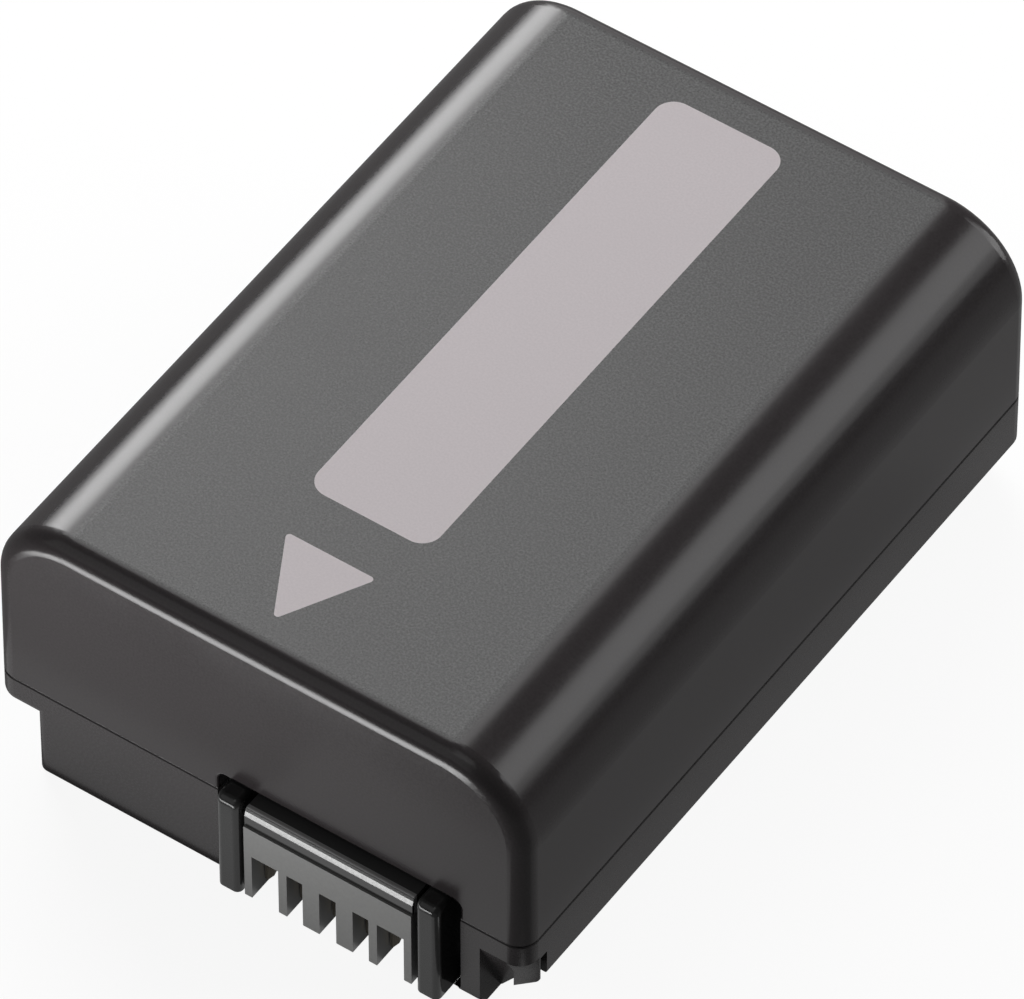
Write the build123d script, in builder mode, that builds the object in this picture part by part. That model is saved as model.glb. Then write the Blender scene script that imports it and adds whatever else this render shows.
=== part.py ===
from build123d import *
import math
import os

os.makedirs("parts", exist_ok=True)

# Outside of the case. X runs across the terminal end, Y from the terminal end to the rear, Z up.
case_width = 31.8
overall_length = 45.5
case_height = 18.0
terminal_reach = 1.1
wall = 0.9
parting_height = 6.2
parting_gap = 0.15
parting_depth = 0.3
parting_bevel = 0.05
draft_angle = 0.3
left_edge_radius = 4.5
right_edge_radius = 4.9
end_edge_radius = 1.1

# Rebates along both lower edges, which run on the rails of the battery bay.
left_rebate_width = 2.4
left_rebate_height = 4.3
right_rebate_width = 2.7
right_rebate_height = 2.8
right_rebate_ledge = 1.12
rebate_edge_radius = 0.5
foot_edge_radius = 0.3
lip_edge_radius = 0.15

# Key at the front right corner that stops the pack going in the wrong way round.
key_lip = 0.9
key_slot_height = 4.7
key_slot_depth = 1.85
key_flat_height = 4.65
key_flat_setback = 1.2
key_notch_width = 0.55
key_notch_gap = 0.1
key_notch_depth = 0.45
key_notch_height = 4.5
key_foot_bevel = 0.7

# Printed panel and arrow, let into the top face.
inlay_depth = 0.1
inlay_centre = -0.5
panel_width = 7.3
panel_radius = 1.1
panel_from_rear = 2.85
arrow_width = 5.4
arrow_length = 4.9
arrow_from_front = 2.3
arrow_gap = 2.95
arrow_radius = 0.2

# Terminal: a comb with five slots between two posts.
centre_slot = 1.0
inner_tooth = 1.0
inner_slot = 0.95
outer_tooth = 0.5
outer_slot = 1.6
comb_leg = 0.45
comb_gap = 0.27
post_width = 1.35
comb_setback = 0.1
comb_depth = 2.8
comb_foot = 0.4
slot_top = 3.7
terminal_top = 6.95
bar_height = 1.2
bar_crest = 0.5
bar_lean = 0.16
bar_round = 0.18
plate_proud = 0.12
post_rise = 0.32
post_round = 0.5
post_edge_radius = 0.35
tooth_edge_radius = 0.18
housing_back = 0.7
window_gap = 0.62
brow_gap = 0.42
window_sill = 0.5
window_radius = 0.5
window_edge_radius = 0.15
flange_lap = 0.8
fit_gap = 0.05

# Contacts, each a folded leaf with a tail that goes through the board.
leaf_thickness = 0.2
leaf_setback = 1.0
leaf_foot = 1.1
leaf_top = 3.3
leaf_bend = 0.4
leaf_pinch = 0.1
tail_width = 0.5
tail_height = 0.6
tail_level = 2.2
tail_stub = 0.3

# Circuit board and what is soldered to it.
board_thickness = 0.8
board_side_gap = 0.15
board_floor_gap = 0.1
board_top_gap = 2.2
rear_parts_room = 0.6
chip_body = 0.9
chip_standoff = 0.1
chip_bevel = 0.1
chip_lead = 0.8
chip_lead_width = 0.25
thermistor_width = 0.8
thermistor_thickness = 0.5

# Cells, straps and insulation.
cell_clearance = 0.15
cell_spacing = 0.2
sleeve_thickness = 0.1
sleeve_gap = 0.02
cap_radius = 3.2
cap_step = 0.5
rim_step = 0.2
rim_width = 0.9
bead_start = 2.2
bead_width = 1.0
bead_depth = 0.5
base_bevel = 0.4
ring_thickness = 0.15
ring_gap = 0.3
strap_thickness = 0.15
strap_width = 4.0
strap_bend = 0.4
card_thickness = 0.2
card_gap = 0.1
lead_radius = 0.45
lead_gap = 0.1

# Supports moulded into the lower case, and the pads between them.
cradle_thickness = 1.0
cradle_reach = 0.75
cradle_from_middle = 11.0
cradle_gap = 0.1
guide_thickness = 0.5
guide_rise = 0.8
guide_root = 1.2
guide_from_end = 6.0
pad_width = 8.0
pad_gap = 0.05
pad_side_gap = 0.1
pad_end_gap = 0.5

# Places that follow from the sizes above.
half_width = case_width / 2
rear = overall_length / 2
terminal_face = -overall_length / 2
front = terminal_face + terminal_reach
panel_length = rear - front - panel_from_rear - arrow_gap - arrow_length - arrow_from_front
roof_lean = (case_height - parting_height) * math.tan(math.radians(draft_angle))
left_step = left_rebate_width - half_width
right_step = half_width - right_rebate_width
right_slant = (right_rebate_width - right_rebate_ledge) / right_rebate_height
bay_left = left_step + wall
bay_right = right_step - wall

inner_tooth_start = centre_slot / 2
inner_slot_start = inner_tooth_start + inner_tooth
outer_tooth_start = inner_slot_start + inner_slot
outer_slot_start = outer_tooth_start + outer_tooth
comb_half = outer_slot_start + outer_slot + comb_leg
terminal_half = comb_half + comb_gap + post_width
terminal_centre = bay_right - fit_gap - flange_lap - terminal_half
comb_face = terminal_face + comb_setback
comb_back = comb_face + comb_depth
housing_rear = comb_back + housing_back
window_top = terminal_top + brow_gap
flange_top = window_top + flange_lap / 2
board_front = housing_rear + fit_gap
board_rear = board_front + board_thickness
board_top = case_height - wall - board_top_gap
board_bottom = wall + board_floor_gap
board_width = bay_right - bay_left - 2 * board_side_gap
board_room = board_top - flange_top
board_middle = (bay_left + bay_right) / 2
front_card = board_rear + rear_parts_room
cell_front = front_card + card_thickness + card_gap + strap_thickness
cell_rear = rear - wall - roof_lean - 2 * card_gap - card_thickness - strap_thickness
cell_length = cell_rear - cell_front

slots = {
    "positive_contact": (-(outer_slot_start + outer_slot / 2), outer_slot),
    "charge_contact": (-(inner_slot_start + inner_slot / 2), inner_slot),
    "data_contact": (0.0, centre_slot),
    "sense_contact": (inner_slot_start + inner_slot / 2, inner_slot),
    "negative_contact": (outer_slot_start + outer_slot / 2, outer_slot),
}


def round_fit(step_width, step_height):
    """Radius of the round cell that lies against the roof and side wall and clears the step below."""
    across = step_width - roof_lean - cell_clearance
    down = case_height - 2 * wall - cell_clearance - step_height
    total = across + down + cell_clearance
    return total - math.sqrt(total**2 - across**2 - down**2 + cell_clearance**2)


cell_bay = half_width - wall - roof_lean - cell_clearance
sleeve_radius = min(
    round_fit(left_rebate_width, left_rebate_height),
    round_fit(right_rebate_width, right_rebate_height),
    (cell_bay - cell_spacing / 2) / 2,
)
cell_radius = sleeve_radius - sleeve_thickness - sleeve_gap
cell_offset = cell_bay - sleeve_radius
cell_level = case_height - wall - cell_clearance - sleeve_radius
cradle_top = cell_level - cradle_reach * sleeve_radius
lead_reach = sleeve_radius + lead_gap + lead_radius
lead_place = min(lead_reach - cell_offset, 0.0)
lead_level = cell_level + math.sqrt(max(lead_reach**2 - cell_offset**2, 0.0))


def tub(inset):
    """Upper case as a solid with drafted sides, drawn in all round by inset."""
    side = half_width - inset
    roof = case_height - inset
    nose = front + inset
    tail = rear - inset
    lean = (roof - parting_height) * math.tan(math.radians(draft_angle))
    with BuildPart() as body:
        with BuildSketch(Plane.XZ.offset(-tail)) as section:
            with BuildLine():
                Polyline(
                    (-side, parting_height),
                    (side, parting_height),
                    (side - lean, roof),
                    (-side + lean, roof),
                    close=True,
                )
            make_face()
            roof_corners = section.vertices().group_by(Axis.Y)[-1].sort_by(Axis.X)
            fillet(roof_corners[0], left_edge_radius - inset)
            fillet(section.vertices().group_by(Axis.Y)[-1].sort_by(Axis.X)[-1], right_edge_radius - inset)
        extrude(amount=tail - nose)
        with BuildSketch(Plane.YZ.offset(-half_width)):
            with BuildLine():
                Polyline(
                    (nose, parting_height),
                    (tail, parting_height),
                    (tail - lean, roof),
                    (nose + lean, roof),
                    close=True,
                )
            make_face()
        extrude(amount=case_width, mode=Mode.INTERSECT)
        ends = body.faces().sort_by(Axis.Y)
        rims = ends[0].edges() + ends[-1].edges()
        fillet(rims.filter_by(lambda e: e.center().Z > parting_height + 0.01), end_edge_radius - inset)
    return body.part


def base_outline(inset):
    """Section of the lower case as points, drawn in all round by inset."""
    slant_inset = inset * (math.hypot(1, right_slant) - right_slant)
    return [
        (-half_width + inset, parting_height),
        (-half_width + inset, left_rebate_height + inset),
        (left_step + inset, left_rebate_height + inset),
        (left_step + inset, inset),
        (right_step - slant_inset, inset),
        (half_width - right_rebate_ledge - slant_inset, right_rebate_height + inset),
        (half_width - inset, right_rebate_height + inset),
        (half_width - inset, parting_height),
    ]


def panel_sketch(level):
    """Outline of the panel on the top face."""
    with BuildSketch(Plane.XY.offset(level)) as outline:
        with Locations((inlay_centre, rear - panel_from_rear - panel_length / 2)):
            RectangleRounded(panel_width, panel_length, panel_radius)
    return outline.sketch


def arrow_sketch(level):
    """Outline of the arrow on the top face, pointing at the terminal end."""
    tip = front + arrow_from_front
    with BuildSketch(Plane.XY.offset(level)) as outline:
        with BuildLine():
            Polyline(
                (inlay_centre, tip),
                (inlay_centre + arrow_width / 2, tip + arrow_length),
                (inlay_centre - arrow_width / 2, tip + arrow_length),
                close=True,
            )
        make_face()
        fillet(outline.vertices(), arrow_radius)
    return outline.sketch


def terminal_window():
    """Opening in the front walls around the terminal."""
    with BuildPart() as window:
        with BuildSketch(Plane.XZ.offset(-(front + 1.5 * wall))):
            with Locations((terminal_centre, (window_sill + window_top) / 2)):
                RectangleRounded(
                    2 * (terminal_half + window_gap),
                    window_top - window_sill,
                    window_radius,
                )
        extrude(amount=3 * wall)
    return window.part


outer_tub = tub(0)
inner_tub = tub(wall)
window = terminal_window()

with BuildPart() as upper_case:
    add(outer_tub)
    add(inner_tub, mode=Mode.SUBTRACT)
    add(window, mode=Mode.SUBTRACT)
    brow = upper_case.edges().filter_by(Axis.X).filter_by(lambda e: abs(e.center().Z - window_top) < 0.01)
    fillet(brow.sort_by(Axis.Y)[0], window_edge_radius)
    extrude(panel_sketch(case_height), amount=-inlay_depth, mode=Mode.SUBTRACT)
    extrude(arrow_sketch(case_height), amount=-inlay_depth, mode=Mode.SUBTRACT)
upper_case.part.label = "upper_case"
export_step(upper_case.part, "parts/upper_case.step")

with BuildPart() as label_panel:
    extrude(panel_sketch(case_height - inlay_depth), amount=inlay_depth)
label_panel.part.label = "label_panel"
export_step(label_panel.part, "parts/label_panel.step")

with BuildPart() as insertion_arrow:
    extrude(arrow_sketch(case_height - inlay_depth), amount=inlay_depth)
insertion_arrow.part.label = "insertion_arrow"
export_step(insertion_arrow.part, "parts/insertion_arrow.step")

with BuildPart() as lower_case:
    with BuildSketch(Plane.XZ.offset(-rear)):
        with BuildLine():
            Polyline(*base_outline(0), close=True)
        make_face()
    extrude(amount=rear - front)
    uprights = lower_case.edges().filter_by(Axis.Z)
    fillet(uprights.filter_by(lambda e: abs(e.center().X) > half_width - 0.01), end_edge_radius)
    uprights = lower_case.edges().filter_by(Axis.Z)
    fillet(uprights.filter_by(lambda e: e.center().Z < right_rebate_height), rebate_edge_radius)
    slants = lower_case.edges().filter_by(lambda e: abs(e.center().Z - right_rebate_height / 2) < 0.01)
    fillet(slants.filter_by(lambda e: e.center().X > right_step), rebate_edge_radius)
    left_ledge = lower_case.faces().filter_by(Axis.Z).filter_by(
        lambda f: abs(f.center().Z - left_rebate_height) < 0.01
    )[0]
    fillet(left_ledge.edges().filter_by(lambda e: e.center().X < left_step - 0.6), rebate_edge_radius)
    right_ledge = lower_case.faces().filter_by(Axis.Z).filter_by(
        lambda f: abs(f.center().Z - right_rebate_height) < 0.01
    )[0]
    fillet(right_ledge.edges().sort_by(Axis.X)[-1], lip_edge_radius)
    foot = lower_case.faces().sort_by(Axis.Z)[0].edges()
    fillet(foot.filter_by(lambda e: e.center().X < right_step - rebate_edge_radius), foot_edge_radius)
    # Narrow gap that runs round the outside below the parting line.
    with BuildSketch(Plane.XY.offset(parting_height)):
        with Locations((0, (front + rear) / 2)):
            RectangleRounded(case_width, rear - front, end_edge_radius)
            RectangleRounded(
                case_width - 2 * parting_depth,
                rear - front - 2 * parting_depth,
                end_edge_radius - parting_depth,
                mode=Mode.SUBTRACT,
            )
    extrude(amount=-parting_gap, mode=Mode.SUBTRACT)
    ledge = lower_case.faces().filter_by(Axis.Z).filter_by(
        lambda f: abs(f.center().Z - parting_height + parting_gap) < 0.01
    )[0]
    chamfer(ledge.outer_wire().edges(), parting_bevel)
    # Hollow inside, with a floor and walls of one thickness.
    with BuildSketch(Plane.XZ.offset(wall - rear)):
        with BuildLine():
            Polyline(*base_outline(wall), close=True)
        make_face()
    extrude(amount=rear - front - 2 * wall, mode=Mode.SUBTRACT)
    # Solid corner behind the key slot.
    with BuildSketch(Plane.XZ.offset(-(front + key_slot_depth + wall))):
        with BuildLine():
            Polyline(
                (bay_right, wall / 2),
                (right_step, wall / 2),
                (half_width - right_rebate_ledge, right_rebate_height + wall / 2),
                (half_width - wall / 2, right_rebate_height + wall / 2),
                (half_width - wall / 2, key_slot_height + wall),
                (bay_right, key_slot_height + wall),
                close=True,
            )
        make_face()
    extrude(amount=key_slot_depth + wall / 2)
    # Key slot with a back that slopes in towards the foot, corner flat and side notch.
    with BuildSketch(Plane.YZ.offset(right_step)):
        with BuildLine():
            Polyline(
                (front - wall, key_slot_height),
                (front, key_slot_height),
                (front + key_slot_depth * (1 + wall / key_slot_height), -wall),
                (front - wall, -wall),
                close=True,
            )
        make_face()
    extrude(amount=right_rebate_width - key_lip, mode=Mode.SUBTRACT)
    with BuildSketch(Plane.XY):
        with BuildLine():
            Polyline(
                (half_width - key_flat_setback - wall, front - wall),
                (half_width + wall, front - wall),
                (half_width + wall, front + key_flat_setback + wall),
                close=True,
            )
        make_face()
    extrude(amount=key_flat_height, mode=Mode.SUBTRACT)
    with BuildSketch(Plane.XY):
        with Locations((half_width, front + key_flat_setback + key_notch_gap + key_notch_width / 2)):
            Rectangle(2 * key_notch_depth, key_notch_width)
    extrude(amount=key_notch_height, mode=Mode.SUBTRACT)
    # Bevel under the front edge, between the terminal and the key.
    with BuildSketch(Plane.YZ.offset(terminal_centre + terminal_half)):
        with BuildLine():
            Polyline((front, 0), (front + key_foot_bevel, 0), (front, key_foot_bevel), close=True)
        make_face()
    extrude(amount=right_step - terminal_centre - terminal_half, mode=Mode.SUBTRACT)
    # Cradles under the cells.
    for place in (-cradle_from_middle, cradle_from_middle):
        with BuildSketch(Plane.XZ.offset(-(place + cradle_thickness / 2))):
            with Locations(((bay_left + bay_right) / 2, (wall / 2 + cradle_top) / 2)):
                Rectangle(bay_right - bay_left + wall, cradle_top - wall / 2)
            with Locations((-cell_offset, cell_level), (cell_offset, cell_level)):
                Circle(sleeve_radius + cradle_gap, mode=Mode.SUBTRACT)
        extrude(amount=cradle_thickness)
    # Guides that locate the upper case.
    with BuildSketch(Plane.XZ.offset(guide_from_end - rear)):
        with BuildLine():
            Polyline(
                (-half_width + wall / 2, parting_height - guide_root),
                (-half_width + wall, parting_height - guide_root),
                (-half_width + wall + fit_gap + guide_thickness, parting_height - guide_root / 2),
                (-half_width + wall + fit_gap + guide_thickness, parting_height + guide_rise),
                (-half_width + wall + fit_gap, parting_height + guide_rise),
                (-half_width + wall + fit_gap, parting_height),
                (-half_width + wall / 2, parting_height),
                close=True,
            )
        make_face()
        mirror(about=Plane.YZ)
    extrude(amount=rear - front - 2 * guide_from_end)
    # Terminal opening in the front wall and through the floor.
    add(window, mode=Mode.SUBTRACT)
    with BuildSketch(Plane.XY):
        with Locations((terminal_centre, (terminal_face + housing_rear + fit_gap) / 2)):
            Rectangle(2 * (terminal_half + fit_gap), housing_rear + fit_gap - terminal_face)
    extrude(amount=terminal_top, mode=Mode.SUBTRACT)
lower_case.part.label = "lower_case"
export_step(lower_case.part, "parts/lower_case.step")

with BuildPart() as terminal_housing:
    with BuildSketch(Plane.XY.offset(comb_foot)):
        with Locations((terminal_centre, (terminal_face + housing_rear) / 2)):
            Rectangle(2 * terminal_half, housing_rear - terminal_face)
    extrude(amount=terminal_top + post_rise - comb_foot)
    crown = terminal_housing.faces().sort_by(Axis.Z)[-1]
    fillet(crown.edges().sort_by(Axis.Y)[0], post_round)
    with BuildSketch(Plane.XZ.offset(-housing_rear)):
        with Locations((terminal_centre, (wall + fit_gap + flange_top) / 2)):
            Rectangle(2 * (terminal_half + flange_lap), flange_top - wall - fit_gap)
    extrude(amount=housing_rear - front - wall - fit_gap - roof_lean / 4)
    # Pocket for the comb and a slit for each contact tail.
    with BuildSketch(Plane.XY):
        with Locations((terminal_centre, (terminal_face - wall + comb_back) / 2)):
            Rectangle(2 * (comb_half + comb_gap), comb_back - terminal_face + wall)
    extrude(amount=terminal_top + post_rise + fit_gap, mode=Mode.SUBTRACT)
    with BuildSketch(Plane.XZ.offset(-housing_rear)):
        with Locations(*[(terminal_centre + place, tail_level) for place, width in slots.values()]):
            Rectangle(tail_width + 2 * fit_gap, tail_height + 2 * fit_gap)
    extrude(amount=housing_back, mode=Mode.SUBTRACT)
    uprights = terminal_housing.edges().filter_by(Axis.Z)
    fillet(uprights.filter_by(lambda e: e.center().Y < terminal_face + 0.01), post_edge_radius)
terminal_housing.part.label = "terminal_housing"
export_step(terminal_housing.part, "parts/terminal_housing.step")

with BuildPart() as contact_comb:
    # Toothed plate with a bar along the top, set back a little, whose crest leans back.
    with BuildSketch(Plane.YZ.offset(terminal_centre - comb_half)):
        with BuildLine():
            Polyline(
                (comb_face, comb_foot),
                (comb_face, terminal_top - bar_height),
                (comb_face + plate_proud, terminal_top - bar_height),
                (comb_face + plate_proud, terminal_top - bar_crest),
                (comb_face + plate_proud + bar_lean, terminal_top),
                (comb_back, terminal_top),
                (comb_back, comb_foot),
                close=True,
            )
        make_face()
    extrude(amount=2 * comb_half)
    crown = contact_comb.faces().sort_by(Axis.Z)[-1]
    fillet(crown.edges().sort_by(Axis.Y)[0], bar_round)
    with BuildSketch(Plane.XZ.offset(-comb_back)):
        for place, width in slots.values():
            with Locations((terminal_centre + place, (comb_foot + slot_top) / 2)):
                Rectangle(width, slot_top - comb_foot)
    extrude(amount=comb_depth, mode=Mode.SUBTRACT)
    soles = contact_comb.faces().group_by(Axis.Z)[0].edges()
    toes = soles.filter_by(Axis.X).group_by(Axis.Y)[0]
    fillet(soles.filter_by(Axis.Y) + toes, tooth_edge_radius)
contact_comb.part.label = "contact_comb"
export_step(contact_comb.part, "parts/contact_comb.step")

for name, (place, width) in slots.items():
    middle = terminal_centre + place
    spread = width / 2 - fit_gap - leaf_thickness / 2
    pinch = spread - leaf_pinch
    mouth = comb_face + leaf_setback
    fold = comb_back - leaf_thickness / 2
    with BuildPart() as contact:
        with BuildSketch(Plane.XY.offset(leaf_foot)):
            with BuildLine():
                Polyline(
                    (middle - spread, mouth),
                    (middle - pinch, mouth + leaf_bend),
                    (middle - spread, mouth + 2 * leaf_bend),
                    (middle - spread, fold),
                    (middle + spread, fold),
                    (middle + spread, mouth + 2 * leaf_bend),
                    (middle + pinch, mouth + leaf_bend),
                    (middle + spread, mouth),
                )
            trace(line_width=leaf_thickness)
        extrude(amount=leaf_top - leaf_foot)
        with BuildSketch(Plane.XZ.offset(-(board_rear + tail_stub))):
            with Locations((middle, tail_level)):
                Rectangle(tail_width, tail_height)
        extrude(amount=board_rear + tail_stub - fold)
    contact.part.label = name
    export_step(contact.part, "parts/" + name + ".step")

with BuildPart() as circuit_board:
    with BuildSketch(Plane.XZ.offset(-board_rear)):
        with Locations((board_middle, (board_bottom + board_top) / 2)):
            Rectangle(board_width, board_top - board_bottom)
        with Locations(*[(terminal_centre + place, tail_level) for place, width in slots.values()]):
            Rectangle(tail_width + 2 * fit_gap, tail_height + 2 * fit_gap, mode=Mode.SUBTRACT)
    extrude(amount=board_thickness)
circuit_board.part.label = "circuit_board"
export_step(circuit_board.part, "parts/circuit_board.step")

# Leaded chips: name, place across the board, share of the height above the flange, body width and height, pins a side.
chips = [
    ("gauge_chip", -6.6, 0.53, 4.4, 5.0, 7),
    ("protection_chip", 1.55, 0.7, 1.6, 2.9, 3),
    ("switch_transistors", 6.4, 0.7, 4.4, 3.0, 4),
]
for name, place, share, width, length, pins in chips:
    middle = board_middle + place
    level = flange_top + share * board_room
    with BuildPart() as chip:
        with BuildSketch(Plane.XZ.offset(chip_standoff - board_front)):
            with Locations((middle, level)):
                Rectangle(width, length)
        extrude(amount=chip_body)
        chamfer(chip.faces().sort_by(Axis.Y)[0].edges(), chip_bevel)
        with BuildSketch(Plane.XZ.offset(-board_front)):
            with Locations((middle, level)):
                with GridLocations(width + chip_lead, length / pins, 2, round(pins)):
                    Rectangle(chip_lead + 2 * chip_bevel, chip_lead_width)
        extrude(amount=chip_standoff + chip_body / 3)
    chip.part.label = name
    export_step(chip.part, "parts/" + name + ".step")

# Plain blocks on the board: name, place across, share of the height, width, height, thickness, how many, pitch.
blocks = [
    ("current_shunt", 6.4, 0.22, 3.2, 1.6, 0.6, 1, 1.0),
    ("thermal_fuse", -10.6, 0.53, 1.6, 3.2, 0.8, 1, 1.0),
    ("chip_resistors", -1.2, 0.13, 0.5, 1.0, 0.35, 5, 0.9),
    ("chip_capacitors", -1.8, 0.35, 0.5, 1.0, 0.5, 4, 0.9),
]
for name, place, share, width, length, thickness, count, pitch in blocks:
    with BuildPart() as block:
        with BuildSketch(Plane.XZ.offset(-board_front)):
            with Locations((board_middle + place, flange_top + share * board_room)):
                with GridLocations(pitch, pitch, round(count), 1):
                    Rectangle(width, length)
        extrude(amount=thickness)
    block.part.label = name
    export_step(block.part, "parts/" + name + ".step")

with BuildPart() as thermistor:
    with BuildSketch(Plane.XZ.offset(-(board_rear + thermistor_thickness))):
        with Locations((-cell_offset, cell_level)):
            Rectangle(2 * thermistor_width, thermistor_width)
    extrude(amount=thermistor_thickness)
thermistor.part.label = "thermistor"
export_step(thermistor.part, "parts/thermistor.step")

# Left cell has its positive end at the front, right cell at the rear, so one strap joins them in series.
for name, middle, positive_end, way in (
    ("left_cell", -cell_offset, cell_front, 1),
    ("right_cell", cell_offset, cell_rear, -1),
):
    bead_slope = bead_width / 3
    profile = [
        (0, 0),
        (cap_radius, 0),
        (cap_radius, cap_step),
        (cell_radius - rim_width, cap_step),
        (cell_radius - rim_width, rim_step),
        (cell_radius, rim_step),
        (cell_radius, bead_start),
        (cell_radius - bead_depth, bead_start + bead_slope),
        (cell_radius - bead_depth, bead_start + bead_width - bead_slope),
        (cell_radius, bead_start + bead_width),
        (cell_radius, cell_length - base_bevel),
        (cell_radius - base_bevel, cell_length),
        (0, cell_length),
    ]
    with BuildPart() as cell:
        with BuildSketch(Plane((middle, 0, cell_level))):
            with BuildLine():
                Polyline(*[(radius, positive_end + way * along) for radius, along in profile], close=True)
            make_face()
        revolve(axis=Axis((middle, 0, cell_level), (0, 1, 0)))
    cell.part.label = name
    export_step(cell.part, "parts/" + name + ".step")

    with BuildPart() as sleeve:
        with BuildSketch(Plane((middle, positive_end + way * rim_step, cell_level), z_dir=(0, way, 0))):
            Circle(sleeve_radius)
            Circle(sleeve_radius - sleeve_thickness, mode=Mode.SUBTRACT)
        extrude(amount=cell_length - rim_step - base_bevel)
    sleeve.part.label = name + "_sleeve"
    export_step(sleeve.part, "parts/" + name + "_sleeve.step")

    with BuildPart() as ring:
        with BuildSketch(Plane((middle, positive_end + way * rim_step, cell_level), z_dir=(0, -way, 0))):
            Circle(cell_radius)
            Circle(cap_radius + ring_gap, mode=Mode.SUBTRACT)
        extrude(amount=ring_thickness)
    ring.part.label = name + "_ring"
    export_step(ring.part, "parts/" + name + "_ring.step")

for name, middle in (("positive_strap", -cell_offset), ("negative_strap", cell_offset)):
    with BuildPart() as strap:
        with BuildSketch(Plane.YZ.offset(middle - strap_width / 2)):
            with BuildLine():
                FilletPolyline(
                    (cell_front - strap_thickness / 2, cell_level - strap_width / 2),
                    (cell_front - strap_thickness / 2, board_top + strap_thickness / 2),
                    (board_front, board_top + strap_thickness / 2),
                    radius=strap_bend,
                )
            trace(line_width=strap_thickness)
        extrude(amount=strap_width)
    strap.part.label = name
    export_step(strap.part, "parts/" + name + ".step")

with BuildPart() as series_strap:
    with BuildSketch(Plane.XZ.offset(-(cell_rear + strap_thickness))):
        with Locations((0, cell_level)):
            RectangleRounded(2 * cell_offset + strap_width, strap_width, strap_width / 4)
        with Locations((lead_place, (cell_level + lead_level + 2 * lead_radius) / 2)):
            Rectangle(4 * lead_radius, lead_level + 2 * lead_radius - cell_level)
    extrude(amount=strap_thickness)
series_strap.part.label = "series_strap"
export_step(series_strap.part, "parts/series_strap.step")

with BuildPart() as midpoint_lead:
    with BuildSketch(Plane((lead_place, board_rear, lead_level), z_dir=(0, 1, 0))):
        Circle(lead_radius)
    extrude(amount=cell_rear - board_rear)
midpoint_lead.part.label = "midpoint_lead"
export_step(midpoint_lead.part, "parts/midpoint_lead.step")

with BuildPart() as front_insulator:
    with BuildSketch(Plane.XZ.offset(-(front_card + card_thickness))):
        with Locations((board_middle, (board_bottom + board_top - strap_bend - card_gap) / 2)):
            Rectangle(board_width, board_top - strap_bend - card_gap - board_bottom)
        with Locations((lead_place, lead_level)):
            Circle(lead_radius + lead_gap, mode=Mode.SUBTRACT)
    extrude(amount=card_thickness)
front_insulator.part.label = "front_insulator"
export_step(front_insulator.part, "parts/front_insulator.step")

with BuildPart() as rear_insulator:
    with BuildSketch(Plane.XZ.offset(-(cell_rear + strap_thickness + card_gap + card_thickness))):
        with Locations((0, cell_level)):
            RectangleRounded(2 * (cell_offset + strap_width), 2 * strap_width, strap_width / 4)
    extrude(amount=card_thickness)
rear_insulator.part.label = "rear_insulator"
export_step(rear_insulator.part, "parts/rear_insulator.step")

pad_reach = cradle_from_middle - cradle_thickness / 2 - pad_end_gap
pad_shift = pad_side_gap + pad_width / 2
for name, middle, cell_middle in (
    ("left_pad", bay_left + pad_shift, -cell_offset),
    ("right_pad", bay_right - pad_shift, cell_offset),
):
    with BuildPart() as pad:
        with BuildSketch(Plane.XZ.offset(-pad_reach)):
            with Locations((middle, (wall + cradle_top) / 2)):
                Rectangle(pad_width, cradle_top - wall)
            with Locations((cell_middle, cell_level)):
                Circle(sleeve_radius + pad_gap, mode=Mode.SUBTRACT)
        extrude(amount=2 * pad_reach)
    pad.part.label = name
    export_step(pad.part, "parts/" + name + ".step")
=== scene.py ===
"""Looks of a small camera battery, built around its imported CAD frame."""

import logging
import math
from dataclasses import dataclass, field
from enum import Enum

import bpy
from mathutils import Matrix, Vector


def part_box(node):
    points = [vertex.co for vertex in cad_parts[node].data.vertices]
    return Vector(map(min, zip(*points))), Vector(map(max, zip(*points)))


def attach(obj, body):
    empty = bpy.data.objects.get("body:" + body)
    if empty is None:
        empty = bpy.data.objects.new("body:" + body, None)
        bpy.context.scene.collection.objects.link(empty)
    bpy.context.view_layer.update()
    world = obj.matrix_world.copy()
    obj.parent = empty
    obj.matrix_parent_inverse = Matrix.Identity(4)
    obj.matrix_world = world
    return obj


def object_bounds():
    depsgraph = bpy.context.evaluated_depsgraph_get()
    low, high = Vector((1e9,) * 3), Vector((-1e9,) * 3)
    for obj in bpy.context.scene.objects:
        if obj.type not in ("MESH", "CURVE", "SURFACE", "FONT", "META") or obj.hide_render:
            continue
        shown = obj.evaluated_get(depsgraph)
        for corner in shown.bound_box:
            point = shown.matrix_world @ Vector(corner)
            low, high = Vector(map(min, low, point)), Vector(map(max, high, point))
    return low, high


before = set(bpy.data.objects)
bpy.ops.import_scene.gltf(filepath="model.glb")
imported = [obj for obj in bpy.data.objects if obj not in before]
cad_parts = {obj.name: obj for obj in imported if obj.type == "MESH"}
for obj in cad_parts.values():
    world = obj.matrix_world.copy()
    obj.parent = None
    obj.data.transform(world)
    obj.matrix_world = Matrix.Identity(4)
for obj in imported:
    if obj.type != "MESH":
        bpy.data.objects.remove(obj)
CAD_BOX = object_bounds()

log = logging.getLogger("battery")

MM = 0.001
NOWHERE = 1.0  # level, in metres, that no part of the battery reaches
ROUND_HANDLE = 0.5523  # Bezier handle of a quarter circle, as a share of its radius
MIX_COLOURS = (6, 7)  # colour inputs of a Mix node
MIX_RESULT = 2  # colour output of a Mix node

Triple = tuple[float, float, float]
Colour = Triple


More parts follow.
